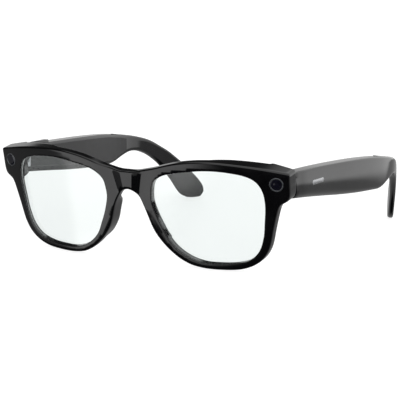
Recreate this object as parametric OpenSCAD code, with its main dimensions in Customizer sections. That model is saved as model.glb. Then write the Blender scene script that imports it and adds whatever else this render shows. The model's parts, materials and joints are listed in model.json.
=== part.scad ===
// Camera glasses with open-ear speakers: a bowed front, two folding temples and their electronics.
// X runs to the wearer's left, Y runs back to the ears, Z is up. The glasses stand on the
// rims and the ear tips, with the origin under the middle of the whole object.

/* [Front] */
// Radius of the front's wrap around the face
bow_r = 262; // [240:1:290]
// Lean of the front, top edge forward, in degrees
front_tilt = 10.2; // [9.5:0.1:10.5]
// Depth of the rims and the brow
rim_t = 4.2; // [3.8:0.1:4.4]
// Flat rear face of the end pieces, behind the front of the bridge
end_back = 16.2; // [16:0.1:16.6]

/* [Lenses] */
// Thickness of a lens
lens_t = 2; // [1.6:0.1:2.2]
// Depth of the lens edge inside the rim groove
lens_bite = 0.7; // [0.4:0.1:0.9]

/* [Camera and light] */
// Distance of the camera and the capture light from the middle
eye_x = 66.8; // [66.5:0.1:67]
// Height of the camera and the capture light in the front, from the top of the bridge
eye_v = -3.6; // [-3.8:0.1:-3.5]
// Outside diameter of their rings
ring_d = 6; // [5.7:0.1:6.2]

/* [Hinges] */
// Distance of the hinge pins from the middle
pin_x = 65.7; // [65.5:0.1:65.8]
// Distance of the hinge pins behind the front of the bridge
pin_y = 20.4; // [20.2:0.1:20.8]
// Diameter of a hinge pin
pin_d = 1.4; // [1.2:0.1:1.6]
// Outside diameter of a hinge knuckle
knuckle_d = 4; // [3.6:0.1:4.2]

/* [Temples] */
// Wall of the temple shells
wall = 1.3; // [1.1:0.1:1.4]
// Gap between the end pieces and the temples
seam_gap = 0.3; // [0.2:0.05:0.4]

/* [Controls] */
// Travel of the capture button
button_travel = 0.4; // [0.3:0.05:0.4]
// Travel of the power slider
slider_travel = 2; // [1.5:0.1:2]

/* [Hidden] */

$fn = 48;
stand_h = 40.8;         // height of the bridge's top edge above the floor
half_depth = 79.6;      // half of the whole depth, front of the bridge to the ear tips
far = 90;               // cutting blocks reach past everything

black = "#141416";
ink = "#1d1e21";
steel = "#a9adb2";
gold = "#c9a24a";
glass = [0.88, 0.95, 0.94, 0.45];

// ---- curves ----

// Point on a Catmull-Rom curve from b to c
function cr(a, b, c, d, t) = 0.5 * (2 * b + (c - a) * t
  + (2 * a - 5 * b + 4 * c - d) * t * t + (3 * b - a - 3 * c + d) * t * t * t);

// An open curve through every point of p, with n steps a span
function smooth(p, n = 3) = [
  for (i = [0 : len(p) - 2], s = [0 : n - 1])
    cr(p[max(i - 1, 0)], p[i], p[i + 1], p[min(i + 2, len(p) - 1)], s / n),
  p[len(p) - 1]
];

// A closed curve through every point of p
function ring(p, n = 3) = [
  for (i = [0 : len(p) - 1], s = [0 : n - 1])
    cr(p[(i + len(p) - 1) % len(p)], p[i], p[(i + 1) % len(p)], p[(i + 2) % len(p)], s / n)
];

function reverse(p) = [for (i = [len(p) - 1 : -1 : 0]) p[i]];
function flip_x(p) = [for (q = p) [-q[0], q[1]]];
function unit(v) = v / norm(v);

// A closed outline moved outwards by d along its own normals (points run clockwise)
function grown(p, d) = [
  for (i = [0 : len(p) - 1])
    let (e = unit(p[(i + 1) % len(p)] - p[(i + len(p) - 1) % len(p)]))
    p[i] + d * [-e[1], e[0]]
];

// A strip of height 2h that follows an open curve
function strip(p, h) = concat(
  [for (q = p) q + [0, h]], reverse([for (q = p) q - [0, h]])
);

// A strip of width 2h along an open curve, square to it everywhere
function ribbon(p, h) =
  let (n = len(p) - 1, side = [
    for (i = [0 : n]) let (e = unit(p[min(i + 1, n)] - p[max(i - 1, 0)])) h * [-e[1], e[0]]
  ])
  concat([for (i = [0 : n]) p[i] + side[i]], reverse([for (i = [0 : n]) p[i] - side[i]]));

// ---- outlines of the front, in its own plane: x across, v up from the top of the bridge ----

brow_top = [
  [0, -0.5], [3.4, -0.5], [7, 0.1], [13, 1.5], [19, 3.2], [25, 4.5], [33, 5.4], [41, 5.4],
  [51.5, 4.5], [62, 3], [72.2, 1]
];
rim_side = [
  [72.2, 1], [72, -3.4], [71.95, -6.4], [71.7, -9], [70.9, -10.7], [69.2, -11.7], [67.3, -13.1],
  [65.9, -17], [64, -24], [62.8, -29], [61.4, -32.8], [59, -36.3], [55.7, -38.9],
  [51.9, -40.6], [47.5, -41.6], [41, -41.95], [34, -41.8], [28, -40.8], [24.5, -39.4],
  [21.5, -37.7], [18.8, -35.6], [16.2, -33.2], [13.8, -30.4], [11.6, -27.3], [9.9, -23.7],
  [8.6, -19.8], [7, -15.4], [4.6, -11.2], [1.9, -9.1], [0, -8.7]
];
lens_edge = [
  [11.3, -13.8], [11.4, -9.5], [12.6, -5], [16.4, -1.9], [22, -0.2], [30, 1], [36, 1.6],
  [42, 1.6], [48, 1], [54, -0.2], [58.4, -2.6], [60.9, -7], [61.5, -13], [60.8, -20],
  [59.9, -26.5], [57.6, -32.8], [53.2, -37], [47, -38.9], [40, -39.4], [33, -39.2],
  [27, -37.5], [22, -34.5], [18.1, -30.4], [15.6, -25.4], [13.2, -20]
];
brow_mid = [
  [0, -3.2], [6, -2.6], [12, -1], [18, 1], [24, 2.3], [30, 3.2], [36, 3.6], [42, 3.5],
  [48, 2.9], [54, 1.8], [60, 0.2], [64.5, -1.4]
];
end_recess = [
  [62.8, 0.8], [70.8, -0.4], [70.6, -6.4], [69.8, -8.4], [68, -9.8], [62.8, -9.8]
];
// Rear face of the brow where it deepens towards an end piece: x across, y back
brow_back = [[36, 6.2], [41, 8.2], [46, 10.3], [51.5, 12], [57, 13.6], [62.4, 15.2]];
pad_shape = [
  [8.4, -14.2], [9.6, -17.5], [10.9, -21.5], [12.3, -25], [14.2, -28.4], [15.8, -30.8],
  [14.6, -31.6], [12.3, -28.6], [10.4, -25.2], [9, -20.8], [7.7, -16.6]
];

half_front = concat(smooth(brow_top), smooth(rim_side, 2));
front_outline = concat(half_front, reverse(flip_x(half_front)));
lens_outline = ring(lens_edge, 2);

// ---- outlines of a temple: side view (y back, z up) and plan (x across, y back) ----

arm_top = [
  [8, 2.9], [24, 2.6], [42, 2], [60, 1.2], [78, 0.2], [92, -0.9], [104, -2.4], [114, -4],
  [122.5, -6.1], [128.6, -8.4], [134.2, -11.6], [139.8, -15.2], [146.4, -21], [152.9, -27.4],
  [156.9, -32], [158.9, -35.4], [159.2, -38]
];
arm_tip = [[159.2, -38], [157.9, -39.8], [155.8, -40.6], [153, -40.8], [150.2, -40.4]];
arm_hook = [
  [150.2, -40.4], [147, -38.6], [144.7, -35.8], [141.4, -30.4], [137.8, -25.6], [133.6, -20.9],
  [130, -17.8], [126.2, -15.2], [121.6, -13.2], [117.6, -12.3], [113.3, -12.1], [109.1, -12.8],
  [104.2, -14.1], [99, -15.5], [94.5, -16], [90, -15.7]
];
arm_base = [[90, -15.7], [74, -14.7], [58, -13.2], [42, -11.3], [26, -9.5], [8, -7.9]];
arm_side = concat(smooth(arm_top, 2), smooth(arm_tip, 3), smooth(arm_hook, 2), smooth(arm_base, 2));

arm_outer = [
  [72.1, 8], [72.5, 18], [73.7, 45], [75, 70], [75.7, 90], [75.5, 104], [73.9, 116],
  [69.1, 130], [64.8, 140], [60.2, 149], [55.2, 159.5]
];
arm_inner = [
  [66.2, 8], [66.2, 18], [66.7, 45], [67.6, 70], [68.9, 90], [69.5, 104], [68.7, 116],
  [65.1, 130], [61.5, 140], [57.1, 149], [52.2, 159.5]
];
cavity_side = [
  [24, 1.4], [42, 0.9], [60, 0], [78, -1.1], [92, -2.2], [104, -3.9], [109, -5],
  [109, -10.8], [104, -12.4], [99, -13.9], [94, -14.5], [90, -14.2], [74, -12.6], [58, -10.7],
  [42, -8.7], [24, -6.9]
];
cavity_front = 24;

// Middle line of the flat core wire in an ear tip, in side view
wire_path = [[112, -8], [121, -9.6], [130.5, -13.8], [140.5, -22.6], [147.6, -30.4], [151.3, -35.6]];
wire_h = 1.8;
wire_t = 1.2;

// ---- worked-out places ----

brow_half = smooth(brow_mid, 2);
brow_line = concat(reverse(flip_x(brow_half)), [for (i = [1 : len(brow_half) - 1]) brow_half[i]]);
brow_span = [for (q = brow_line) if (abs(q[0]) < 37) q];
contact_x = 3.6;
contact_v = -6;

end_corner = [61.9, -11.6];                            // inner foot of an end piece

eye_y = bow_r - sqrt(bow_r * bow_r - eye_x * eye_x);   // depth of the front face at the camera
eye_turn = asin(eye_x / bow_r);                        // turn of the front face there
window_d = ring_d - 1.2;
window_t = 0.9;
ring_t = 1.2;
pocket_d = 6.5;
pocket_front = eye_y + 1.5;

plate_t = 1;                                           // hinge plate under an end cover
cover_t = 1.2;
plate_back = end_back - cover_t;
plate_front = plate_back - plate_t;
screw_d = 1;
plate_screws = [[69.7, -1.2], [66.9, -8.9]];

outer_knuckles = [[-6, 2.1], [-0.9, 2.1]];             // foot and height of the front's knuckles
middle_knuckle = [-3.8, 2.8];                          // foot and height of the temple's knuckle
leaf_x = 67.6;
leaf_screws = [26.6, 31];                              // how far back the leaf's screws are
leaf_z = -2.6;

skin = 0.7;                                            // thickness of an inner cover
vent = [71.2, 103.5, -2.5];                            // middle of a speaker vent
vent_turn = [-9.5, 0, 1];
speaker_at = [72.4, 101.6, -8.3];
button_y = 34.3;
slider_y = 36;
slider_z = -3;
badge_y = 35;
badge_z = -3.6;

// ---- places ----

// Puts parts drawn in the tilted plane of the front in their place
module in_front() {
  translate([0, -half_depth, stand_h]) rotate([front_tilt, 0, 0]) children();
}

// Puts parts drawn level, measured from the top of the bridge, in their place
module level() {
  translate([0, -half_depth, stand_h]) children();
}

module right_side() {
  mirror([1, 0, 0]) children();
}

module both_sides() {
  children();
  right_side() children();
}

// ---- building blocks of the front ----

// A flat shape in x and v, from y0 back to y1
module slab(y0, y1) {
  translate([0, y1, 0]) rotate([90, 0, 0]) linear_extrude(y1 - y0) children();
}

// A bar along the depth of the front
module bar(x, v, d, y0, y1) {
  translate([x, y0, v]) rotate([-90, 0, 0]) cylinder(d = d, h = y1 - y0);
}

// An outline cut to the wrapped layer of the front between two depths
module wrapped(points, d0, d1) {
  intersection() {
    slab(-4, 24) polygon(points);
    translate([0, bow_r, -60]) difference() {
      cylinder(r = bow_r - d0, h = 80, $fn = 240);
      translate([0, 0, -1]) cylinder(r = bow_r - d1, h = 82, $fn = 240);
    }
  }
}

// Round things that lie flush in the front face at the camera, drawn with z going inwards
module at_eye() {
  translate([eye_x, eye_y, eye_v]) rotate([0, 0, eye_turn]) rotate([-90, 0, 0]) children();
}

// Everything in front of a plane of the front
module ahead_of(y) {
  rotate([front_tilt, 0, 0]) translate([-far, y - far, -far]) cube([2 * far, far, 2 * far]);
}

// ---- front ----

// An end piece: the front's outline carried back to the hinge
module end_block() {
  intersection() {
    translate([0, bow_r, -60]) cylinder(r = bow_r, h = 80, $fn = 240);
    slab(-1, end_back) intersection() {
      polygon(front_outline);
      translate(end_corner) square([12, 20]);
    }
  }
}

// The deeper part of the brow beside an end piece
module brow_shoulder() {
  intersection() {
    slab(2, end_back) intersection() {
      polygon(front_outline);
      polygon([[36, -3], [62.4, -6], [62.4, 12], [36, 12]]);
    }
    translate([0, 0, -20]) linear_extrude(40) polygon(concat(brow_back, [[62.4, 8.5], [36, 3.5]]));
  }
}

module nose_pad() {
  intersection() {
    slab(2, 10) polygon(ring(pad_shape, 2));
    translate([0, 5.2, -22]) rotate([12, 0, 0]) cube([40, 8, 40], center = true);
  }
}

module front_cuts() {
  slab(-5, 25) polygon(lens_outline);
  wrapped(grown(lens_outline, lens_bite + 0.05), 1.15, 1.25 + lens_t);
  at_eye() translate([0, 0, -2]) cylinder(d = ring_d + 0.1, h = ring_t + 2.05);
  bar(eye_x, eye_v, pocket_d, pocket_front, plate_front + 0.1);
  slab(plate_front, end_back + 1) polygon(end_recess);
  for (q = plate_screws) bar(q[0], q[1], screw_d, plate_front - 3.2, plate_front + 0.1);
}

module front_frame() color(black) in_front() difference() {
  union() {
    wrapped(front_outline, 0, rim_t);
    both_sides() end_block();
    both_sides() brow_shoulder();
    both_sides() nose_pad();
  }
  both_sides() front_cuts();
  wrapped(strip(brow_line, 0.75), rim_t - 1.7, rim_t - 0.7);
  wrapped(strip(brow_span, 1.2), rim_t - 0.8, rim_t + 0.2);
  both_sides() bar(contact_x, contact_v, 2.1, rim_t - 2.1, rim_t + 1);
  translate([0, 2, -3.2]) cube([3.6, 1.2, 2.2], center = true);
}

module brow_cover() color(ink) in_front() wrapped(strip(brow_span, 1.15), rim_t - 0.8, rim_t);

module front_flex() color("#b5722b") in_front() wrapped(strip(brow_line, 0.6), rim_t - 1.5, rim_t - 1.3);

module bridge_microphone() color(steel) in_front() translate([0, 1.95, -3.2])
  cube([3.4, 0.9, 2], center = true);

module charging_contacts() color(gold) in_front()
  both_sides() bar(contact_x, contact_v, 2, rim_t - 2, rim_t + 0.2);

module lens() color(glass) in_front() wrapped(grown(lens_outline, lens_bite), 1.2, 1.2 + lens_t);

module eye_ring() color("#5d5f66") in_front() at_eye() difference() {
  translate([0, 0, -0.1]) cylinder(d = ring_d, h = ring_t + 0.1);
  translate([0, 0, -1]) cylinder(d = window_d + 0.1, h = ring_t + 2);
}

module eye_window() color("#08080c") in_front() at_eye() translate([0, 0, 0.1])
  cylinder(d = window_d, h = window_t);

module camera_module() color("#26272b") in_front() {
  bar(eye_x, eye_v, 4.2, eye_y + 1.8, eye_y + 3.3);
  translate([eye_x - 2.3, eye_y + 3.2, eye_v - 2.3]) cube([4.6, 1.9, 4.6]);
}

module led_board() color("#1f5b3a") in_front() {
  bar(eye_x, eye_v, 6.2, eye_y + 3.6, eye_y + 4.4);
  translate([eye_x - 1, eye_y + 2.6, eye_v - 1]) cube([2, 1.1, 2]);
}

// A cover over an end piece's recess, slotted for the hinge's two arms
module end_cover() color(ink) difference() {
  in_front() slab(plate_back, end_back) polygon(grown(end_recess, -0.05));
  level() for (k = outer_knuckles) hinge_arm(k, 0.15);
  in_front() for (q = plate_screws) bar(q[0], q[1], 1.9, plate_back - 0.1, plate_back + 0.6);
}

// An arm from an end piece's hinge plate back to a knuckle
module hinge_arm(knuckle, play) {
  translate([pin_x - knuckle_d / 2 - play, plate_front - 2, knuckle[0] - play])
    cube([knuckle_d / 2 + 2 * play, pin_y - plate_front + 2, knuckle[1] + 2 * play]);
}

module front_hinge() color(steel) difference() {
  union() {
    in_front() slab(plate_front, plate_back) polygon(grown(end_recess, -0.1));
    level() for (k = outer_knuckles) {
      translate([pin_x, pin_y, k[0]]) cylinder(d = knuckle_d, h = k[1]);
      difference() {
        hinge_arm(k, 0);
        ahead_of(plate_front + 0.3);
      }
    }
  }
  level() translate([pin_x, pin_y, -10]) cylinder(d = pin_d, h = 20);
  in_front() for (q = plate_screws) bar(q[0], q[1], screw_d, plate_front - 1, plate_back + 1);
}

module front_hinge_screws() color("#8b8f94") in_front() both_sides() for (q = plate_screws) {
  bar(q[0], q[1], screw_d, plate_front - 3, plate_back + 0.1);
  bar(q[0], q[1], 1.7, plate_back, plate_back + 0.5);
}

module hinge_pins() color("#8b8f94") level() both_sides() translate([pin_x, pin_y, 0]) {
  translate([0, 0, -6]) cylinder(d = pin_d, h = 7.3);
  translate([0, 0, 1.2]) cylinder(d = 2.4, h = 0.5);
}

// ---- building blocks of the temples, drawn for the left one ----

// A side view carried across the whole temple
module seen_from_side(points) {
  rotate([90, 0, 90]) linear_extrude(far) polygon(points);
}

// The band of the temple's plan between two depths below its outer face
module below_outer(d0, d1) {
  curve = smooth(arm_outer);
  translate([0, 0, -50]) linear_extrude(70)
    polygon(concat([for (q = curve) q - [d0, 0]], reverse([for (q = curve) q - [d1, 0]])));
}

// The temple's plan, from its inner face plus inset to its outer face less cut
module plan(inset, cut) {
  translate([0, 0, -50]) linear_extrude(70) polygon(concat(
    [for (q = smooth(arm_outer)) q - [cut, 0]],
    reverse([for (q = smooth(arm_inner)) q + [inset, 0]])
  ));
}

// The flat core wire, with some play all round
module core(play) {
  outer = smooth(arm_outer);
  inner = smooth(arm_inner);
  middle = [for (i = [0 : len(outer) - 1]) (outer[i] + inner[i]) / 2];
  half_t = [wire_t / 2 + play, 0];
  intersection() {
    seen_from_side(ribbon(smooth(wire_path), wire_h / 2 + play));
    translate([0, 0, -50]) linear_extrude(70)
      polygon(concat([for (q = middle) q + half_t], reverse([for (q = middle) q - half_t])));
  }
}

// A bar across the temple, from x0 outwards
module cross_bar(x0, y, z, d, h) {
  translate([x0, y, z]) rotate([0, 90, 0]) cylinder(d = d, h = h, $fn = 24);
}

// A box set in the temple: middle, size and turn
module block(middle, size, turn = [0, 0, 0]) {
  translate(middle) rotate(turn) cube(size, center = true);
}

// The plan of a bar with round ends, in the temple's side view
module bar_plate(y, z, long, tall) {
  translate([0, y, z]) rotate([90, 0, 90]) linear_extrude(far) union() {
    square([long - tall, tall], center = true);
    for (s = [-1, 1]) translate([s * (long - tall) / 2, 0]) circle(d = tall);
  }
}

// ---- temples ----

module temple_shell() {
  difference() {
    union() {
      difference() {
        intersection() {
          seen_from_side(arm_side);
          plan(0, 0);
        }
        intersection() {
          seen_from_side(cavity_side);
          plan(-3, wall);
        }
      }
      for (y = leaf_screws) cross_bar(leaf_x + 1.05, y, leaf_z, 2.6, 3.2);
    }
    ahead_of(end_back + seam_gap);
    translate([pin_x, pin_y, -6.4]) cylinder(d = knuckle_d + 0.8, h = 8.5);
    translate([pin_x - 4, pin_y - 0.2, middle_knuckle[0] - 0.15]) cube([7, 4, middle_knuckle[1] + 0.3]);
    for (y = leaf_screws) cross_bar(leaf_x, y, leaf_z, screw_d, 3.4);
    block(vent, [1.7, 10.6, 6], vent_turn);
    translate([70, 29.5, -12]) cylinder(d = 0.8, h = 6, $fn = 24);
    intersection() {
      bar_plate(badge_y, badge_z, 10.1, 2.1);
      below_outer(-1, 0.3);
    }
    core(0.05);
  }
}

module inner_cover() color(ink) {
  intersection() {
    seen_from_side(grown(cavity_side, -0.05));
    translate([0, 0, -50]) linear_extrude(70) polygon(concat(
      [for (q = smooth(arm_inner)) q + [skin, 0]], reverse(smooth(arm_inner))
    ));
  }
}

module temple_hinge() color(steel) level() difference() {
  union() {
    translate([pin_x, pin_y, middle_knuckle[0]]) cylinder(d = knuckle_d, h = middle_knuckle[1]);
    translate([pin_x + 0.6, pin_y, middle_knuckle[0]]) cube([leaf_x + 0.4 - pin_x, 3.4, middle_knuckle[1]]);
    translate([leaf_x, pin_y + 2.4, middle_knuckle[0]]) cube([1, 2.2, middle_knuckle[1]]);
    translate([leaf_x, cavity_front + 0.1, -5.4]) cube([1, 8.8, 5.1]);
  }
  translate([pin_x, pin_y, -10]) cylinder(d = pin_d + 0.1, h = 20);
  for (y = leaf_screws) cross_bar(leaf_x - 1, y, leaf_z, screw_d, 3);
}

module hinge_screws() color("#8b8f94") level() for (y = leaf_screws) {
  cross_bar(leaf_x - 0.05, y, leaf_z, screw_d, 3.3);
  cross_bar(leaf_x - 0.4, y, leaf_z, 1.9, 0.4);
}

module speaker() color("#3a3b40") level() {
  block(speaker_at, [2.6, 9.8, 6], [0, 0, vent_turn[2]]);
  translate(speaker_at) rotate([0, 0, vent_turn[2]]) cross_bar(-1.6, 0, 0, 5, 0.4);
}

module speaker_mesh() color("#3b3c40") level() block(vent, [1.6, 10.5, 0.5], vent_turn);

module core_wire() color(steel) level() core(0);

module microphone() color(steel) level() block([70, 29.5, -6.4], [2.4, 3.4, 0.9]);

module badge() color("#c9ccd1") level() intersection() {
  bar_plate(badge_y, badge_z, 10, 2);
  below_outer(-0.1, 0.3);
}

// ---- left temple ----

module left_temple_shell() color(black) level() temple_shell();

module left_inner_cover() level() color(ink) difference() {
  inner_cover();
  block([65, slider_y + slider_travel / 2, slider_z], [8, 2.2 + slider_travel, 1.9]);
}

module left_battery() color("#3f6a8a") level() block([70.7, 63, -5.6], [3.4, 40, 8.2], [-5.1, 0, -2.1]);

module left_temple_flex() color("#b5722b") level() intersection() {
  below_outer(wall + 0.15, wall + 0.35);
  seen_from_side([[42, -2.4], [96, -7], [96, -9.4], [42, -4.8]]);
}

module power_switch() color("#2b2c30") level() difference() {
  block([69.4, slider_y + 1, slider_z], [2, 6.4, 4]);
  block([68.2, slider_y + 1, slider_z], [0.8, 4.6, 1.6]);
}

module power_slider() color("#55575c") level() {
  block([66.6, slider_y, slider_z], [2.2, 2, 1.5]);
  block([67.75, slider_y, slider_z], [0.4, 2.8, 2.6]);
}

// ---- right temple, drawn as the left one's mirror image ----

module right_temple_shell() color(black) level() right_side() difference() {
  temple_shell();
  block([69.4, button_y, 3], [3.3, 11.9, 8]);
}

module right_inner_cover() level() right_side() inner_cover();

module main_board() color("#1f5b3a") level() right_side()
  block([71.3, 64, -5.7], [0.8, 40, 8.2], [-5.1, 0, -2.1]);

module shield_can() color(steel) level() right_side()
  block([69.7, 58, -5.2], [1.9, 18, 6.6], [-5.1, 0, -2.1]);

module touch_flex() color("#b5722b") level() right_side() intersection() {
  below_outer(wall + 0.1, wall + 0.3);
  seen_from_side([[44, -0.5], [88, -3.5], [88, -12.5], [44, -7.2]]);
}

module tact_switch() color(steel) level() right_side() {
  block([69.4, button_y + 2, -1.4], [3.6, 4.6, 1.6]);
  translate([69.4, button_y + 2, -0.7]) cylinder(d = 1.6, h = 0.9 - button_travel);
}

module capture_button() color(black) level() right_side() {
  block([69.4, button_y, 1.85], [3, 11.6, 2.9]);
  block([69.4, button_y, 0.5], [3.8, 12.4, 0.4]);
}

// ---- nodes ----

front_frame();
brow_cover();
end_cover();  // left_end_cover
right_side() end_cover();  // right_end_cover
lens();  // left_lens
right_side() lens();  // right_lens
eye_ring();  // camera_bezel
eye_window();  // camera_window
camera_module();
right_side() eye_ring();  // led_bezel
right_side() eye_window();  // led_window
right_side() led_board();
front_flex();
bridge_microphone();
charging_contacts();
front_hinge();  // left_front_hinge
right_side() front_hinge();  // right_front_hinge
front_hinge_screws();
hinge_pins();
left_temple_shell();
left_inner_cover();
temple_hinge();  // left_temple_hinge
hinge_screws();  // left_hinge_screws
left_battery();
speaker();  // left_speaker
speaker_mesh();  // left_speaker_mesh
left_temple_flex();
core_wire();  // left_core_wire
microphone();  // left_microphone
badge();  // left_badge
power_switch();
power_slider();
right_temple_shell();
right_inner_cover();
right_side() temple_hinge();  // right_temple_hinge
right_side() hinge_screws();  // right_hinge_screws
main_board();
shield_can();
touch_flex();
right_side() speaker();  // right_speaker
right_side() speaker_mesh();  // right_speaker_mesh
right_side() core_wire();  // right_core_wire
right_side() microphone();  // right_microphone
right_side() badge();  // right_badge
tact_switch();
capture_button();
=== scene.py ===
"""Smart glasses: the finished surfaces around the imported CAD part.

Outlines and sizes repeat those of the CAD source, in millimetres. Front pieces are drawn in
the tilted plane of the front: x across, y back, v up from the top of the bridge. Temple pieces
are drawn level from the same point. Left is the wearer's left, +X.
"""

import json
import math

import bmesh
import bpy
import numpy as np
from mathutils import Euler, Matrix, Vector
from mathutils.geometry import delaunay_2d_cdt


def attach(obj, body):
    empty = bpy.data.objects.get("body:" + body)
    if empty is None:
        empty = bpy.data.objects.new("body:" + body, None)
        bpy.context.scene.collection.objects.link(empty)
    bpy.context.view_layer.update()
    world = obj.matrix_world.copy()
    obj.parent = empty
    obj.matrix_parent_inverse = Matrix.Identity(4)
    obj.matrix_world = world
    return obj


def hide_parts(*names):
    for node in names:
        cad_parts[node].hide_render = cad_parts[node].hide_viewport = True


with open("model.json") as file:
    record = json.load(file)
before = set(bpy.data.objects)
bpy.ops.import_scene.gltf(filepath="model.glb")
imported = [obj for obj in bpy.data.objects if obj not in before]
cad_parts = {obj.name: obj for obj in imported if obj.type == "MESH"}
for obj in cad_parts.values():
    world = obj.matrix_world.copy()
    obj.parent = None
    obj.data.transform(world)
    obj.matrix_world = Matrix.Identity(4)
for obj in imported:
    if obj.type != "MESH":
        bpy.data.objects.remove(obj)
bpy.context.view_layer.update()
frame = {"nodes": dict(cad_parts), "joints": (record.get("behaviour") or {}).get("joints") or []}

MM = 0.001

# ---- driving sizes in millimetres, and angles ----

BOW_R = 262.0                  # wrap radius of the front
TILT = math.radians(10.2)
RIM_T = 4.2                    # depth of the rims
BLOCK_X, BLOCK_V = 61.9, -11.6  # where the end pieces begin
BLOCK_BACK = 16.2              # their flat rear face
PROUD = 0.12                   # how far the CAD covers stand out of the surfaces made here
LENS_T, LENS_BITE = 2.0, 0.7   # thickness of the lenses, and their reach into the rims
LENS_FRONT = 1.2               # how far they lie behind the front face
EYE_X, EYE_V = 66.8, -3.6      # middle of the camera's ring
RING_D = 6.0
WINDOW_R = RING_D / 2 - 0.6    # radius of the windows inside the rings
SEAT_DEPTH = 1.25              # depth of the seats of the rings in the front
PIN = Vector((65.7, 20.4, -2.4))  # where the left hinge's joint stands
KNUCKLE_D = 4.0
SEAM = 0.3                     # gap between an end piece and its temple
SEAM_ENDS = (2.75, -8.75)      # height of its upper and lower end
BADGE = (35.0, -3.6, 10.0, 2.0)  # y, z, length and height
BUTTON = (69.4, 34.3, 3.3)       # middle of the capture button and its top
VENT, VENT_TURN = (71.2, 103.5, -2.5), (-9.5, 0, 1)  # middle and turn of a speaker's vent
MIC_HOLE = (70, 29.5, -12)     # foot of the microphone's hole in a temple's lower edge
PAD_RISE = 4.3                 # how far the nose pads stand out of the rims
KEY_DROP = 0.75                # how far the facets beside the bridge's middle fall away
KEY_TOP, KEY_FOOT = (3.1, 7.5), (1.8, 5.2)  # inner and outer edge of a facet, at its top and foot
KEY_SPAN = 10.0                # height of the facets
FLUSH = 0.45                   # how far the temples are narrowed at the seam to meet the end pieces
SEAM_BEVEL = 0.1               # width of the bevel round the seam's edge on a temple
CAMERA_AT, CAMERA_AIM = (335.2, -517.8, 101.2), (28.5, 13.8, -12.4)  # from the top of the bridge
FOCAL = 133.4

# The top of the bridge, found from the left hinge
hinge = next(j for j in frame["joints"] if j["name"] == "left_temple_hinge")
BRIDGE = Vector(hinge["pos_m"]) / MM - PIN

# ---- outlines ----

BROW_TOP = [
    (0, -0.5), (3.4, -0.5), (7, 0.1), (13, 1.5), (19, 3.2), (25, 4.5), (33, 5.4), (41, 5.4),
    (51.5, 4.5), (62, 3), (72.2, 1),
]
RIM_SIDE = [
    (72.2, 1), (72, -3.4), (71.95, -6.4), (71.7, -9), (70.9, -10.7), (69.2, -11.7), (67.3, -13.1),
    (65.9, -17), (64, -24), (62.8, -29), (61.4, -32.8), (59, -36.3), (55.7, -38.9),
    (51.9, -40.6), (47.5, -41.6), (41, -41.95), (34, -41.8), (28, -40.8), (24.5, -39.4),
    (21.5, -37.7), (18.8, -35.6), (16.2, -33.2), (13.8, -30.4), (11.6, -27.3), (9.9, -23.7),
    (8.6, -19.8), (7, -15.4), (4.6, -11.2), (1.9, -9.1), (0, -8.7),
]
LENS_EDGE = [
    (11.3, -13.8), (11.4, -9.5), (12.6, -5), (16.4, -1.9), (22, -0.2), (30, 1), (36, 1.6),
    (42, 1.6), (48, 1), (54, -0.2), (58.4, -2.6), (60.9, -7), (61.5, -13), (60.8, -20),
    (59.9, -26.5), (57.6, -32.8), (53.2, -37), (47, -38.9), (40, -39.4), (33, -39.2),
    (27, -37.5), (22, -34.5), (18.1, -30.4), (15.6, -25.4), (13.2, -20),
]
# Rear face of the brow where it deepens towards an end piece: x across, y back
BROW_BACK = [(36, 6.2), (41, 8.2), (46, 10.3), (51.5, 12), (57, 13.6), (62.4, 15.2)]
PAD = [
    (8.4, -14.2), (9.6, -17.5), (10.9, -21.5), (12.3, -25), (14.2, -28.4), (15.8, -30.8),
    (14.6, -31.6), (12.3, -28.6), (10.4, -25.2), (9, -20.8), (7.7, -16.6),
]
ARM_TOP = [
    (8, 2.9), (24, 2.6), (42, 2), (60, 1.2), (78, 0.2), (92, -0.9), (104, -2.4), (114, -4),
    (122.5, -6.1), (128.6, -8.4), (134.2, -11.6), (139.8, -15.2), (146.4, -21), (152.9, -27.4),
    (156.9, -32), (158.9, -35.4), (159.2, -38),
]
ARM_TIP = [(159.2, -38), (157.9, -39.8), (155.8, -40.6), (153, -40.8), (150.2, -40.4)]
ARM_HOOK = [
    (150.2, -40.4), (147, -38.6), (144.7, -35.8), (141.4, -30.4), (137.8, -25.6), (133.6, -20.9),
    (130, -17.8), (126.2, -15.2), (121.6, -13.2), (117.6, -12.3), (113.3, -12.1), (109.1, -12.8),
    (104.2, -14.1), (99, -15.5), (94.5, -16), (90, -15.7),
]
ARM_BASE = [(90, -15.7), (74, -14.7), (58, -13.2), (42, -11.3), (26, -9.5), (8, -7.9)]
ARM_OUTER = [
    (72.1, 8), (72.5, 18), (73.7, 45), (75, 70), (75.7, 90), (75.5, 104), (73.9, 116),
    (69.1, 130), (64.8, 140), (60.2, 149), (55.2, 159.5),
]
ARM_INNER = [
    (66.2, 8), (66.2, 18), (66.7, 45), (67.6, 70), (68.9, 90), (69.5, 104), (68.7, 116),
    (65.1, 130), (61.5, 140), (57.1, 149), (52.2, 159.5),
]
# Places where a section of the temple joins its top edge to its lower edge
ARM_SECTIONS = [
    ((60, 1.2), (58, -13.2)), ((92, -0.9), (92, -15.9)), ((104, -2.4), (104.2, -14.1)),
    ((114, -4), (111.2, -12.3)), ((122.5, -6.1), (116.4, -12.2)), ((128.6, -8.4), (121.2, -13.1)),
    ((134.2, -11.6), (126.2, -15.2)), ((139.8, -15.2), (131.6, -19.1)),
    ((146.4, -21), (136.8, -24.4)), ((152.9, -27.4), (141.8, -31)), ((156.9, -32), (144.9, -36)),
    ((158.9, -35.4), (147, -38.6)), ((159.2, -38), (150.2, -40.4)),
]


# ---- curves ----

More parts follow.
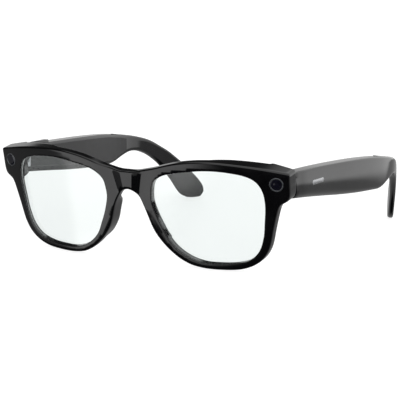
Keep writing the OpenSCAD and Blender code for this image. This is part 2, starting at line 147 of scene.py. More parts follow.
def smooth(points, n):
    """An open Catmull-Rom curve through the points, n steps a span."""
    p = np.array([points[0], *points, points[-1]], float)
    t = np.arange(n)[:, None] / n
    spans = [
        0.5 * (2 * b + (c - a) * t + (2 * a - 5 * b + 4 * c - d) * t**2
               + (3 * b - a - 3 * c + d) * t**3)
        for a, b, c, d in zip(p, p[1:], p[2:], p[3:])
    ]
    return np.vstack([*spans, p[-1:]])


def ring(points, n):
    """A closed Catmull-Rom curve through the points."""
    p = [points[-1], *points, points[0], points[1]]
    return smooth(p, n)[n:-n - 1]


def evenly(p, count, closed=False):
    """The curve p as count points at even distances."""
    if closed:
        p = np.vstack([p, p[:1]])
    s = np.r_[0, np.cumsum(np.linalg.norm(np.diff(p, axis=0), axis=1))]
    stops = np.linspace(0, s[-1], count + 1)[:-1] if closed else np.linspace(0, s[-1], count)
    return np.column_stack([np.interp(stops, s, p[:, k]) for k in range(p.shape[1])])


def eased(p, passes):
    """A closed curve with its corners slightly rounded."""
    for _ in range(passes):
        p = (np.roll(p, 1, 0) + 2 * p + np.roll(p, -1, 0)) / 4
    return p


def outward(p):
    """Unit normals of a closed clockwise outline, pointing out of it."""
    e = np.roll(p, -1, 0) - np.roll(p, 1, 0)
    n = np.column_stack([-e[:, 1], e[:, 0]])
    n = (np.roll(n, 1, 0) + 2 * n + np.roll(n, -1, 0)) / 4
    return n / np.linalg.norm(n, axis=1)[:, None]


def distance(q, p, closed=True):
    """Distance from each point of q to the polyline p."""
    a = p if closed else p[:-1]
    b = np.roll(p, -1, 0) if closed else p[1:]
    d = b - a
    best = np.full(len(q), 1e9)
    for start in range(0, len(a), 64):
        aa, dd = a[start:start + 64], d[start:start + 64]
        w = q[:, None] - aa
        t = np.clip((w * dd).sum(2) / np.maximum((dd**2).sum(1), 1e-12), 0, 1)
        best = np.minimum(best, np.linalg.norm(w - t[..., None] * dd, axis=2).min(1))
    return best


def round_points(radius, n):
    """A circle as n points about the origin."""
    a = np.arange(n) / n * 2 * math.pi
    return radius * np.column_stack([np.cos(a), np.sin(a)])


def inside(q, p):
    """Whether each point of q lies inside the closed outline p."""
    a, b = p, np.roll(p, -1, 0)
    hit = np.zeros(len(q), int)
    for (ax, ay), (bx, by) in zip(a, b):
        crosses = (ay > q[:, 1]) != (by > q[:, 1])
        if crosses.any():
            x = ax + (q[:, 1] - ay) / (by - ay if by != ay else 1e-12) * (bx - ax)
            hit += crosses & (q[:, 0] < x)
    return hit % 2 == 1


def step(x):
    """A smooth step from 0 to 1."""
    x = np.clip(x, 0, 1)
    return x * x * (3 - 2 * x)


# ---- meshes ----

class Soup:
    """Faces collected in millimetres, welded into one mesh at the end."""

    def __init__(self):
        self.verts, self.faces, self.count = [], [], 0

    def add(self, points, faces):
        self.verts.append(np.asarray(points, float))
        self.faces += [[i + self.count for i in f] for f in faces]
        self.count += len(points)

    def loft(self, loops, closed=True):
        """Quads between loops of the same number of points."""
        n = len(loops[0])
        last = n if closed else n - 1
        faces = [
            (k * n + i, k * n + (i + 1) % n, (k + 1) * n + (i + 1) % n, (k + 1) * n + i)
            for k in range(len(loops) - 1) for i in range(last)
        ]
        self.add(np.vstack(loops), faces)

    def fan(self, loop):
        """A loop closed over its own middle."""
        n = len(loop)
        self.add(np.vstack([loop, loop.mean(0)]), [(i, (i + 1) % n, n) for i in range(n)])

    def build(self, name, place, crease=None, angle=48):
        """The welded mesh as an object; edges over the crease angle or on crease lines are sharp."""
        bm = bmesh.new()
        made = [bm.verts.new(v) for v in np.vstack(self.verts)]
        for f in self.faces:
            if len(set(f)) > 2:
                try:
                    bm.faces.new([made[i] for i in f])
                except ValueError:  # this face is already there
                    pass
        bmesh.ops.remove_doubles(bm, verts=bm.verts, dist=0.002)
        bmesh.ops.dissolve_degenerate(bm, dist=0.001, edges=bm.edges)
        bmesh.ops.recalc_face_normals(bm, faces=bm.faces)
        for e in bm.edges:
            if len(e.link_faces) == 2 and e.calc_face_angle() > math.radians(angle):
                e.smooth = False
        if crease:
            for e in bm.edges:
                if all(crease(v.co) for v in e.verts):
                    e.smooth = False
        for f in bm.faces:
            f.smooth = True
        bm.transform(place)
        mesh = bpy.data.meshes.new(name)
        bm.to_mesh(mesh)
        bm.free()
        made_object = bpy.data.objects.new(name, mesh)
        bpy.context.scene.collection.objects.link(made_object)
        return made_object


LEVEL = Matrix.Diagonal((MM, MM, MM, 1)) @ Matrix.Translation(BRIDGE)
IN_FRONT = LEVEL @ Matrix.Rotation(TILT, 4, "X")
FLIP = Matrix.Diagonal((-1, 1, 1, 1))


def at(middle, turn=(0, 0, 0)):
    """A place given by its middle and its turns in degrees."""
    return Matrix.Translation(middle) @ Euler([math.radians(a) for a in turn]).to_matrix().to_4x4()


def carve(obj, cutters, mirrored=False):
    """Cuts the cutters out of obj, and shades what comes out of it."""
    for c in cutters:
        if mirrored:
            c.data.flip_normals()
        m = obj.modifiers.new("cut", "BOOLEAN")
        m.operation, m.solver, m.object = "DIFFERENCE", "EXACT", c
    dg = bpy.context.evaluated_depsgraph_get()
    dg.update()
    mesh = bpy.data.meshes.new_from_object(obj.evaluated_get(dg))
    obj.modifiers.clear()
    obj.data = mesh
    for c in cutters:
        bpy.data.objects.remove(c)
    mesh.shade_smooth()
    mesh.set_sharp_from_angle(angle=math.radians(32))
    return obj


def rounded_box(name, size, radius, place, segments=4):
    """A box with rounded edges, its size in millimetres, about the origin of place."""
    bm = bmesh.new()
    bmesh.ops.create_cube(bm, size=1)
    bmesh.ops.scale(bm, vec=size, verts=bm.verts)
    if radius:
        bmesh.ops.bevel(bm, geom=list(bm.edges), offset=radius, segments=segments, profile=0.5,
                        affect="EDGES", clamp_overlap=True)
    for f in bm.faces:
        f.smooth = True
    bm.transform(place)
    mesh = bpy.data.meshes.new(name)
    bm.to_mesh(mesh)
    bm.free()
    made = bpy.data.objects.new(name, mesh)
    bpy.context.scene.collection.objects.link(made)
    if radius:
        mesh.set_sharp_from_angle(angle=math.radians(60))
    return made


def turned(name, profile, place, segments=72):
    """A piece turned about the z axis of place; profile is (radius, depth), closed or from the axis."""
    soup = Soup()
    soup.loft([np.column_stack([round_points(r, segments), np.full(segments, z)]) for r, z in profile])
    made = soup.build(name, place)
    made.data.set_sharp_from_angle(angle=math.radians(40))
    return made


def round_cutter(name, radius, depth, place):
    """A round cutter from 0 to depth along the z axis of place."""
    return turned(name, [(1e-4, 0), (radius, 0), (radius, depth), (1e-4, depth)], place, 48)


# ---- front frame ----

def bow(x):
    """Depth of the wrapped front face at x."""
    return BOW_R - np.sqrt(BOW_R**2 - np.asarray(x)**2)


def key_edges(v):
    """Distance of a facet's inner and outer edge from the middle, at height v."""
    t = np.clip((-0.5 - v) / KEY_SPAN, 0, 1)
    return (KEY_TOP[0] + t * (KEY_FOOT[0] - KEY_TOP[0]), KEY_TOP[1] + t * (KEY_FOOT[1] - KEY_TOP[1]))


def front_face(x, v):
    """Depth of the front surface: the bow with the bridge's two facets."""
    u = np.abs(x)
    inner, outer = key_edges(v)
    fall = np.clip((u - inner) / (outer - inner), 0, 1)
    # past a facet the drop fades away sideways, and down towards the foot of the bridge
    sideways, down = 1 - step((u - outer) / 9), step((v + 17) / 7)
    return bow(x) + KEY_DROP * fall * sideways * down


def rear_face(x, v):
    """Depth of the rear surface: the rims, the nose pads, the deeper brow and the end pieces."""
    u = np.abs(x)
    q = np.column_stack([u, v])
    depth = bow(x) + RIM_T - PROUD
    near = (u < 22) & (v < -8)
    if near.any():
        d = distance(q[near], PAD_LINE)
        d = np.where(inside(q[near], PAD_LINE), d, -d)
        depth[near] += PAD_RISE * step((d + 2.0) / 3.2)
    start = BROW_BACK[0][0]
    deeper = np.interp(u, *np.array(BROW_BACK).T) - PROUD
    # the deeper brow ends below at a line that falls slightly towards the end piece
    in_brow = step((v + 3 + (u - start) * 0.11) / 1.5) * step((u - start + 0.5) / 3)
    depth = depth + np.maximum(0, deeper - depth) * in_brow
    block = block_share(x, v)
    return depth * (1 - block) + (BLOCK_BACK - PROUD) * block


HALF = evenly(np.vstack([smooth(BROW_TOP, 8), smooth(RIM_SIDE, 6)[1:]]), 281)
OUTLINE = eased(np.vstack([HALF, (HALF * (-1, 1))[::-1][1:-1]]), 2)
LENS_LINE = eased(evenly(ring(LENS_EDGE, 6), 220, closed=True), 2)
PAD_LINE = ring(PAD, 3)
EYE_TURN = math.asin(EYE_X / BOW_R)
EYE = Vector((EYE_X, float(bow(EYE_X)), EYE_V))
AT_EYE = (Matrix.Translation(EYE) @ Matrix.Rotation(EYE_TURN, 4, "Z")
          @ Matrix.Rotation(-math.pi / 2, 4, "X"))


def rounded_edge(radius, n=5):
    """Inset and depth of a rounded edge, from the flat face to the side wall."""
    t = np.arange(n + 1) / n * math.pi / 2
    return radius * (1 - np.sin(t)), radius * (1 - np.cos(t))


def block_share(x, v):
    """0 on the rims, 1 on the end pieces."""
    return step(np.minimum(np.abs(x) - BLOCK_X, v - BLOCK_V) + 0.5)


def wall(soup, line, normal, front_r, rear_r, rows):
    """The wall along an outline with both its edges rounded. Returns its front and rear loops."""
    # the rear edge gets crisp where the brow deepens and round the end pieces
    crisp = 1 - 0.8 * step((np.abs(line[:, 0]) - 34) / 8) * step((line[:, 1] + 12) / 2)
    loops = []
    for inset, drop in zip(*rounded_edge(front_r)):
        q = line - normal * inset
        loops.append(np.column_stack([q[:, 0], front_face(q[:, 0], q[:, 1]) + drop, q[:, 1]]))
    rear = []
    for inset, drop in zip(*rounded_edge(rear_r)):
        q = line - normal * (inset * crisp)[:, None]
        depth = rear_face(q[:, 0], q[:, 1]) - drop * crisp
        rear.insert(0, np.column_stack([q[:, 0], depth, q[:, 1]]))
    start, end = loops[-1], rear[0]
    loops += [start + (end - start) * k / rows for k in range(1, rows)]
    loops += rear
    soup.loft(loops)
    return loops[0][:, ::2], loops[-1][:, ::2]


def sheet_between(soup, outer, holes, surface, lines, spacing):
    """The face between an outer loop and holes, with crease lines kept, at the surface's depth."""
    loops = [outer, *holes]
    gap = spacing * 0.45           # from the grid's points to the loops and lines
    low, high = outer.min(0), outer.max(0)
    gx, gy = np.meshgrid(np.arange(low[0], high[0], spacing),
                         np.arange(low[1], high[1], spacing * 0.87))
    gx = gx + (np.arange(len(gx)) % 2)[:, None] * spacing / 2
    grid = np.column_stack([gx.ravel(), gy.ravel()])
    keep = inside(grid, outer)
    for h in holes:
        keep &= ~inside(grid, h)
    grid = grid[keep]
    clear = np.min([distance(grid, p) for p in loops], axis=0) > gap
    for p in lines:
        clear &= distance(grid, p, closed=False) > gap
    points, edges = [], []
    for p in loops:
        n, base = len(p), len(points)
        points += list(p)
        edges += [(base + i, base + (i + 1) % n) for i in range(n)]
    for p in lines:
        base = len(points)
        points += list(p)
        edges += [(base + i, base + i + 1) for i in range(len(p) - 1)]
    points += list(grid[clear])
    verts, _, faces, *_ = delaunay_2d_cdt([Vector(p) for p in points], edges, [], 0, 1e-5)
    q = np.array([tuple(p) for p in verts])
    centre = np.array([q[list(f)].mean(0) for f in faces])
    good = inside(centre, outer)
    for h in holes:
        good &= ~inside(centre, h)
    faces = [f for f, g in zip(faces, good) if g]
    soup.add(np.column_stack([q[:, 0], surface(q[:, 0], q[:, 1]), q[:, 1]]), faces)


def make_front():
    """The front frame: walls round the outline and the lenses, and the faces between them."""
    soup = Soup()
    out_n, lens_n = outward(OUTLINE), outward(LENS_LINE)
    front_loop, rear_loop = wall(soup, OUTLINE, out_n, front_r=0.75, rear_r=0.8, rows=7)
    front_holes, rear_holes = [], []
    for s in (1, -1):
        line, n = LENS_LINE * (s, 1), -lens_n * (s, 1)
        f, r = wall(soup, line, n, front_r=0.28, rear_r=0.45, rows=4)
        front_holes.append(f)
        rear_holes.append(r)
    circle = round_points(RING_D / 2 + 0.05, 56)
    rim, seat = (np.array([AT_EYE @ Vector((*q, z)) for q in circle]) for z in (0, SEAT_DEPTH))
    rim[:, 1] = front_face(rim[:, 0], rim[:, 2])
    for s in (1, -1):
        soup.loft([rim * (s, 1, 1), seat * (s, 1, 1)])
        soup.fan(seat * (s, 1, 1))
        front_holes.append(rim[:, ::2] * (s, 1))
    v = np.linspace(-1.35, -9.5, 15)
    creases = []
    for s in (1, -1):
        for x in key_edges(v):
            c = np.column_stack([s * x, v])
            creases.append(c[inside(c, front_loop)])
    sheet_between(soup, front_loop, front_holes, front_face, creases, spacing=1.3)
    foot_lines = []                # lines that keep the step up to each end piece even
    for s, hole in zip((1, -1), rear_holes):
        for d in (-0.5, -0.25, 0, 0.25, 0.5):
            up = np.column_stack([np.full(12, BLOCK_X + d), np.linspace(BLOCK_V + d, 3.6, 12)])
            across = np.column_stack([np.linspace(BLOCK_X + d, 69, 9), np.full(9, BLOCK_V + d)])
            corner = np.vstack([up[::-1], across[1:]]) * (s, 1)
            foot_lines.append(corner[inside(corner, rear_loop) & ~inside(corner, hole)])
    sheet_between(soup, rear_loop, rear_holes, rear_face, foot_lines, spacing=1.1)

    def on_crease(p):
        """Whether a point lies on an edge of the bridge's facets."""
        if abs(p.x) > 8 or p.z < -9.6 or p.z > -1.2 or abs(p.y - float(front_face(p.x, p.z))) > 0.02:
            return False
        return min(abs(abs(p.x) - float(k)) for k in key_edges(p.z)) < 0.01

    return soup.build("front_shell", IN_FRONT, on_crease)


# ---- lenses, rings and windows ----

def make_lens(side):
    """One lens: two wrapped faces and a softened edge inside the rim's groove."""
    line = LENS_LINE + outward(LENS_LINE) * LENS_BITE
    line = evenly(line, 150, closed=True) * (side, 1)
    n = outward(line) * side
    soup = Soup()
    bevel = [(0.25, 0), (0.07, 0.07), (0, 0.25)]
    loops = []
    for inset, d in bevel + [(b, LENS_T - c) for b, c in bevel[::-1]]:
        q = line - n * inset
        loops.append(np.column_stack([q[:, 0], bow(q[:, 0]) + LENS_FRONT + d, q[:, 1]]))
    soup.loft(loops)
    for loop, d in ((loops[0], 0), (loops[-1], LENS_T)):
        sheet_between(soup, loop[:, ::2], [], lambda x, v, d=d: bow(x) + LENS_FRONT + d, [], spacing=2.0)
    return soup.build("left_lens_glass" if side > 0 else "right_lens_glass", IN_FRONT, angle=15)


def eye_ring(name, place):
    """The bevelled ring round a window."""
    r, w = RING_D / 2, WINDOW_R
    return turned(name, [
        (w, 0.35), (w, 0.02), (w + 0.08, -0.07), (w + 0.16, -0.1), (r - 0.16, -0.1), (r - 0.06, -0.06),
        (r, 0.04), (r, 1.1), (w, 1.1), (w, 0.35),
    ], place)


def camera_glass(name, place):
    """The camera's window, with a domed middle in a small groove."""
    return turned(name, [
        (1e-4, -0.02), (0.35, -0.015), (0.7, 0.01), (1.0, 0.05), (1.2, 0.1), (1.26, 0.24), (1.42, 0.24),
        (1.48, 0.1), (1.9, 0.08), (2.25, 0.07), (WINDOW_R - 0.06, 0.08), (WINDOW_R - 0.01, 0.13),
        (WINDOW_R - 0.01, 0.95), (1e-4, 0.95),
    ], place)


def light_glass(name, place):
    """The capture light's plain window."""
    return turned(name, [
        (1e-4, 0.05), (0.8, 0.052), (1.6, 0.06), (WINDOW_R - 0.1, 0.08), (WINDOW_R - 0.01, 0.15),
        (WINDOW_R - 0.01, 0.95), (1e-4, 0.95),
    ], place)


# ---- temples ----

OUTER, INNER = smooth(ARM_OUTER, 8), smooth(ARM_INNER, 8)
ARM_EDGES = (smooth(ARM_TOP, 10), smooth(ARM_BASE[::-1] + ARM_HOOK[::-1][1:], 10))


def plan_x(curve, y):
    """Distance from the middle of a temple's inner or outer face, at depth y."""
    return np.interp(y, curve[:, 1], curve[:, 0])


def temple_place(side):
    """The place that a temple's pieces are drawn in, mirrored for the right one."""
    return LEVEL if side > 0 else LEVEL @ FLIP


def arm_pairs():
    """Upper and lower end of every section of a temple, from the seam to the tip."""
    back = (BLOCK_BACK + SEAM - 2 * PROUD) / math.cos(TILT)
    seam_ends = [(back - z * math.tan(TILT), z) for z in SEAM_ENDS]
    stations = [seam_ends, *ARM_SECTIONS]
    counts = [18, 12] + [5] * (len(stations) - 3)  # sections from each station to the next
    tip = smooth(ARM_TIP, 8)
    caps = ([tip[k] for k in (3, 6, 9, 11)], [tip[-1 - k] for k in (3, 7, 11, 14)])
    edges = []
    for k, curve in enumerate(ARM_EDGES):
        run = np.r_[0, np.cumsum(np.linalg.norm(np.diff(curve, axis=0), axis=1))]
        marks = [run[np.linalg.norm(curve - p[k], axis=1).argmin()] for p in stations]
        stops = [a + i / n * (b - a) for a, b, n in zip(marks, marks[1:], counts) for i in range(n)]
        points = np.column_stack([np.interp([*stops, marks[-1]], run, curve[:, j]) for j in (0, 1)])
        points[0] = seam_ends[k]
        edges.append(np.vstack([points, caps[k]]))
    return edges


def section(height, thick, radii, camber):
    """A rounded section as (x from the inner face, height fraction), anticlockwise from the outer foot."""
    limit = 0.48 * min(height, thick)
    ro_low, ro_top, ri_top, ri_low = (min(r, limit) for r in radii)
    corners = [
        ((thick - ro_low, ro_low), ro_low, -90), ((thick - ro_top, height - ro_top), ro_top, 0),
        ((ri_top, height - ri_top), ri_top, 90), ((ri_low, ri_low), ri_low, 180),
    ]
    arcs = []
    for middle, r, start in corners:
        t = np.radians(start + np.arange(7) * 15)
        arcs.append(middle + r * np.column_stack([np.cos(t), np.sin(t)]))
    out = []
    for arc, following, n in zip(arcs, arcs[1:] + arcs[:1], (9, 4, 7, 4)):
        a, b = arc[-1], following[0]
        out += [arc, a + (b - a) * (np.arange(1, n) / n)[:, None]]
    p = np.vstack(out)
    f = p[:, 1] / height
    p[:, 0] -= camber * (2 * f - 1) ** 2 * step((p[:, 0] / thick - 0.5) / 0.4)
    return p[:, 0], f


def make_temple(name, side):
    """A temple's shell: sections lofted from the seam to the ear tip, with its openings cut out."""
    upper, lower = arm_pairs()
    soup = Soup()
    loops = []
    for i, (top, foot) in enumerate(zip(upper, lower)):
        y = (top[0] + foot[0]) / 2
        height = np.linalg.norm(top - foot)
        thick = float(plan_x(OUTER, y) - plan_x(INNER, y)) - PROUD
        near_seam = 1 - float(step((y - 17.2) / 8))  # where the outer face meets the end piece's
        soft = float(step((y - 50) / 55))  # crisp creases in front, soft ones towards the ear
        radii = (3.4 - 1.9 * soft, 0.4 + 1.2 * soft, 0.8 + 0.7 * soft, 0.9 + 0.6 * soft)
        x, f = section(height, thick, radii, 0.42 - 0.3 * soft)
        yz = foot + (top - foot) * f[:, None]
        fall = 0.4 * float(1 - step((y - 17) / 22))  # the top slopes to meet the end piece's
        yz[:, 1] -= fall * np.clip(x / thick, 0, 1) * step((f - 0.5) * 2)
        across = plan_x(INNER, yz[:, 0]) + PROUD
        wide = plan_x(OUTER, yz[:, 0]) - FLUSH * near_seam - across
        ring_now = np.column_stack([across + x * wide / thick, yz])
        if i == 0:
            away = ring_now - ring_now.mean(0)
            loops.append(ring_now - away / np.linalg.norm(away, axis=1)[:, None] * SEAM_BEVEL)
            ring_now = ring_now + (0, SEAM_BEVEL, 0)
        loops.append(ring_now)
    soup.loft(loops)
    soup.fan(loops[0])
    soup.fan(loops[-1])
    place = temple_place(side)
    temple = soup.build(name, place)
    cutters = [
        round_cutter("knuckle_cut", KNUCKLE_D / 2 + 0.4, 8.5, place @ at((PIN.x, PIN.y, -6.4))),
        rounded_box("leaf_cut", (7, 4, 3.1), 0, place @ at((PIN.x - 0.5, PIN.y + 1.8, -2.4))),
        rounded_box("vent_cut", (1.7, 10.6, 3), 0, place @ at(VENT, VENT_TURN)),
        round_cutter("hole_cut", 0.4, 3, place @ at(MIC_HOLE)),
    ]
    if side < 0:
        cutters.append(rounded_box("button_cut", (3.3, 11.9, 8), 0, place @ at((*BUTTON[:2], 6))))
    return carve(temple, cutters, mirrored=side < 0)


def make_badge(name, side):
    """A plain bar with round ends that follows the temple's outer face."""
    y0, z0, long, tall = BADGE
    edge = round_points(tall / 2, 48)
    edge[:, 0] += np.sign(edge[:, 0]) * (long - tall) / 2
    soup = Soup()
    loops = []
    for size, lift in ((1, -0.35), (1, 0.02), (0.97, 0.07), (0.9, 0.1)):
        q = edge * (1 - (1 - size) * tall / np.linalg.norm(edge, axis=1)[:, None])
        loops.append(np.column_stack([plan_x(OUTER, y0 + q[:, 0]) + lift, y0 + q[:, 0], z0 + q[:, 1]]))
    soup.loft(loops)
    soup.fan(loops[0])
    soup.fan(loops[-1])
    made = soup.build(name, temple_place(side))
    made.data.set_sharp_from_angle(angle=math.radians(40))
    return made


def make_mesh_strip(name, side):
    """A speaker vent's perforated strip: a thin plate with two rows of real holes."""
    place = temple_place(side) @ at(VENT, VENT_TURN)
    plate = rounded_box(name, (1.6, 10.5, 0.5), 0.05, place, 2)
    cutters = [
        round_cutter("mesh_hole", 0.27, 1, place @ at((0.38 * s, (i - 5) * 0.92, -0.1)))
        for i in range(11) for s in (-1, 1)
    ]
    return carve(plate, cutters, mirrored=side < 0)


# ---- materials ----

def material(name, dark, light, rough, scale, bump, fine, **sockets):
    """A shader whose colour and roughness follow noise of one scale, with a bump of a finer one."""
    m = bpy.data.materials.new(name)
    m.use_nodes = True
    nodes, links = m.node_tree.nodes, m.node_tree.links
    shader = nodes["Principled BSDF"]
    where = nodes.new("ShaderNodeTexCoord")
    noise = nodes.new("ShaderNodeTexNoise")
    noise.inputs["Scale"].default_value = scale
    noise.inputs["Detail"].default_value = 4
    colour = nodes.new("ShaderNodeValToRGB")
    colour.color_ramp.elements[0].position, colour.color_ramp.elements[1].position = 0.3, 0.7
    colour.color_ramp.elements[0].color = (*dark, 1)
    colour.color_ramp.elements[1].color = (*light, 1)
    span = nodes.new("ShaderNodeMapRange")
    for key, value in zip(("From Min", "From Max", "To Min", "To Max"), (0.3, 0.7, *rough)):
        span.inputs[key].default_value = value
    grain = nodes.new("ShaderNodeTexNoise")
    grain.inputs["Scale"].default_value = fine
    height = nodes.new("ShaderNodeBump")
    height.inputs["Strength"].default_value = bump
    height.inputs["Distance"].default_value = 0.0001
    links.new(where.outputs["Object"], noise.inputs["Vector"])
    links.new(where.outputs["Object"], grain.inputs["Vector"])
    links.new(noise.outputs["Fac"], colour.inputs["Fac"])
    links.new(colour.outputs["Color"], shader.inputs["Base Color"])
    links.new(noise.outputs["Fac"], span.inputs["Value"])
    links.new(span.outputs["Result"], shader.inputs["Roughness"])
    links.new(grain.outputs["Fac"], height.inputs["Height"])
    links.new(height.outputs["Normal"], shader.inputs["Normal"])
    for key, value in sockets.items():
        shader.inputs[key.replace("_", " ").title().replace("Ior", "IOR")].default_value = value
    return m


GLOSS = material("gloss_black", (0.0016, 0.0016, 0.0019), (0.0028, 0.0028, 0.0032), (0.06, 0.11),
                 120, 0.015, 900)
COVER = material("cover_black", (0.005, 0.005, 0.0055), (0.009, 0.009, 0.0095), (0.3, 0.4), 300, 0.1, 4000,
                 specular_ior_level=0.32)
LENS = material("clear_lens", (0.83, 0.87, 0.86), (0.84, 0.88, 0.87), (0.0, 0.0), 60, 0.0, 900,
                transmission_weight=1.0, ior=1.5)
GLASS = material("window_glass", (0.002, 0.002, 0.004), (0.004, 0.004, 0.008), (0.02, 0.05), 400, 0.0, 900)
RING = material("ring_grey", (0.10, 0.105, 0.115), (0.14, 0.145, 0.155), (0.28, 0.38), 600, 0.05, 5000,
                metallic=0.9)
SILVER = material("badge_silver", (0.3, 0.305, 0.315), (0.4, 0.405, 0.415), (0.24, 0.36), 500, 0.06, 6000,
                  metallic=1.0)
STEEL = material("steel", (0.42, 0.43, 0.45), (0.52, 0.53, 0.55), (0.22, 0.36), 500, 0.08, 4000, metallic=1.0)
GOLD = material("gold", (0.75, 0.52, 0.2), (0.85, 0.62, 0.28), (0.15, 0.28), 500, 0.05, 4000, metallic=1.0)
SWITCH = material("switch_black", (0.012, 0.012, 0.014), (0.02, 0.02, 0.022), (0.4, 0.5), 400, 0.2, 5000)
BOARD = material("circuit_board", (0.01, 0.06, 0.03), (0.02, 0.11, 0.05), (0.35, 0.5), 900, 0.3, 3000)
FLEX = material("flex_ribbon", (0.35, 0.14, 0.04), (0.45, 0.2, 0.06), (0.3, 0.42), 500, 0.1, 3000)
WRAP = material("battery_wrap", (0.03, 0.10, 0.22), (0.05, 0.14, 0.28), (0.3, 0.45), 200, 0.1, 2000)
SPEAKER = material("speaker_black", (0.02, 0.02, 0.022), (0.035, 0.035, 0.038), (0.45, 0.6), 500, 0.2, 4000)
VENT_GREY = material("vent_mesh", (0.03, 0.03, 0.033), (0.05, 0.05, 0.054), (0.35, 0.5), 700, 0.1, 5000,
                     metallic=0.6)

FINISH = {
    COVER: ["brow_cover", "left_end_cover", "right_end_cover", "left_inner_cover", "right_inner_cover"],
    STEEL: ["left_front_hinge", "right_front_hinge", "front_hinge_screws", "hinge_pins",
            "left_temple_hinge", "right_temple_hinge", "left_hinge_screws", "right_hinge_screws",
            "left_core_wire", "right_core_wire", "shield_can", "bridge_microphone", "left_microphone",
            "right_microphone", "tact_switch"],
    GOLD: ["charging_contacts"],
    SWITCH: ["power_switch", "power_slider", "camera_module"],
    BOARD: ["main_board", "led_board"],
    FLEX: ["front_flex", "left_temple_flex", "touch_flex"],
    WRAP: ["left_battery"],
    SPEAKER: ["left_speaker", "right_speaker"],
}
for finish, names in FINISH.items():
    for n in names:
        mesh = frame["nodes"][n].data
        mesh.materials.clear()
        mesh.materials.append(finish)


def dress(obj, finish, slot, body, *nodes):
    """Gives a piece its material and its body, and hides the CAD nodes that it stands for."""
    obj.data.materials.clear()
    obj.data.materials.append(finish)
    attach(obj, body)
    if nodes:
        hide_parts(*nodes)


# ---- the pieces ----

dress(make_front(), GLOSS, "frame_black", "front", "front_frame")
for side, word in ((1, "left"), (-1, "right")):
    lens = make_lens(side)
    lens.visible_shadow = False  # light reaches what stands behind it
    dress(lens, LENS, "clear_lens", "front", word + "_lens")
    dress(make_temple(word + "_temple_skin", side), GLOSS, "frame_black", word + "_temple",
          word + "_temple_shell")
    dress(make_badge(word + "_bar", side), SILVER, "badge_silver", word + "_temple", word + "_badge")
    dress(make_mesh_strip(word + "_vent_strip", side), VENT_GREY, "vent_mesh", word + "_temple",
          word + "_speaker_mesh")

camera_place = IN_FRONT @ AT_EYE
light_place = IN_FRONT @ FLIP @ AT_EYE
dress(eye_ring("camera_ring", camera_place), RING, "ring_grey", "front", "camera_bezel")
dress(eye_ring("light_ring", light_place), RING, "ring_grey", "front", "led_bezel")
dress(camera_glass("camera_glass", camera_place), GLASS, "window_glass", "front", "camera_window")
dress(light_glass("light_glass", light_place), GLASS, "window_glass", "front", "led_window")

button = rounded_box("shutter_button", (3.0, 11.6, 4.2), 0.6,
                     temple_place(-1) @ at((*BUTTON[:2], BUTTON[2] - 2.1)))
dress(button, GLOSS, "frame_black", "capture_button", "capture_button")

# ---- stage ----

def make_floor():
    """A pale floor that shines a little, so that only faint shadows stay on it."""
    bm = bmesh.new()
    bmesh.ops.create_grid(bm, x_segments=1, y_segments=1, size=12)
    mesh = bpy.data.meshes.new("floor")
    bm.to_mesh(mesh)
    bm.free()
    floor = bpy.data.objects.new("floor", mesh)
    bpy.context.scene.collection.objects.link(floor)
    floor.data.materials.append(
        material("floor_white", (0.25, 0.25, 0.25), (0.27, 0.27, 0.27), (0.4, 0.5), 20, 0.0, 900,
                 emission_color=(1, 1, 1, 1), emission_strength=0.85))
    floor.visible_glossy = False
    floor.visible_shadow = False


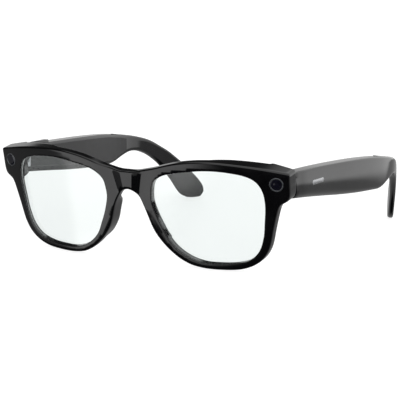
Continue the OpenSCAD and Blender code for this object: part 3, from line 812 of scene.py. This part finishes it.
def make_world():
    """Soft studio panels all round, by direction."""
    world = bpy.data.worlds.new("studio")
    bpy.context.scene.world = world
    world.use_nodes = True
    nodes, links = world.node_tree.nodes, world.node_tree.links
    back = nodes["Background"]
    where = nodes.new("ShaderNodeTexCoord")
    split = nodes.new("ShaderNodeSeparateXYZ")
    links.new(where.outputs["Generated"], split.inputs[0])
    x, y, z = split.outputs

    def math_node(kind, a, b):
        n = nodes.new("ShaderNodeMath")
        n.operation = kind
        for i, value in enumerate((a, b)):
            if isinstance(value, (int, float)):
                n.inputs[i].default_value = value
            else:
                links.new(value, n.inputs[i])
        return n.outputs[0]

    def ramp(value, low, high):
        """A smooth step from 0 at low to 1 at high."""
        n = nodes.new("ShaderNodeMapRange")
        n.interpolation_type = "SMOOTHSTEP"
        links.new(value, n.inputs["Value"])
        n.inputs["From Min"].default_value, n.inputs["From Max"].default_value = low, high
        return n.outputs["Result"]

    def blend(t, a, b):
        """a where t is 0, b where it is 1."""
        return math_node("ADD", math_node("MULTIPLY", math_node("SUBTRACT", 1.0, t), a),
                         math_node("MULTIPLY", t, b))

    # azimuth in degrees from straight ahead (-Y) towards the wearer's right (-X)
    minus_x, minus_y = math_node("MULTIPLY", x, -1.0), math_node("MULTIPLY", y, -1.0)
    azimuth = math_node("MULTIPLY", math_node("ARCTAN2", minus_x, minus_y), 180 / math.pi)

    # below the horizon: even light behind, and a bright panel ahead from 10-22 to 52-56 degrees
    far = ramp(azimuth, 52, 56)
    panel = blend(ramp(azimuth, 10, 22), 0.04, blend(far, 1.7, 0.25))
    foot = ramp(math_node("SUBTRACT", z, math_node("MULTIPLY", far, 0.03)), -0.485, -0.467)
    low = blend(ramp(y, -0.1, 0.1), math_node("MULTIPLY", panel, foot), 0.45)

    # above it: a panel behind on the left, and a dark wall on the right with light over its top
    side_panel = math_node("MULTIPLY", ramp(y, 0.35, 0.6), ramp(x, 0.1, 0.3))
    dark_wall = ramp(minus_x, 0.2, 0.35)
    horizon = blend(ramp(y, 0.4, 0.6), 0.05, 0.7)
    wall_light = blend(ramp(z, 0.78, 0.84), blend(ramp(z, 0.22, 0.3), horizon, 0.04), 1.3)
    high = blend(side_panel, blend(dark_wall, 1.3, wall_light), 1.6)

    # the two meet near the horizon, lower under the panel behind on the left
    edge = blend(side_panel, -0.02, -0.17)
    level = ramp(math_node("SUBTRACT", z, edge), -0.02, 0.02)
    light = blend(level, low, high)

    # the camera itself sees plain white
    path = nodes.new("ShaderNodeLightPath")
    shown = blend(path.outputs["Is Camera Ray"], light, 1.0)
    links.new(shown, back.inputs["Strength"])
    back.inputs["Color"].default_value = (1, 1, 1, 1)


make_floor()
make_world()

camera = bpy.data.objects.new("camera", bpy.data.cameras.new("camera"))
bpy.context.scene.collection.objects.link(camera)
camera.data.lens = FOCAL
camera.data.sensor_width = 36
camera.location = (BRIDGE + Vector(CAMERA_AT)) * MM
aim = (BRIDGE + Vector(CAMERA_AIM)) * MM
camera.rotation_mode = "QUATERNION"
camera.rotation_quaternion = (aim - camera.location).to_track_quat("-Z", "Y")
camera.data.clip_start = 0.01
camera.data.clip_end = 50
bpy.context.scene.camera = camera
bpy.context.scene.view_settings.view_transform = "Standard"
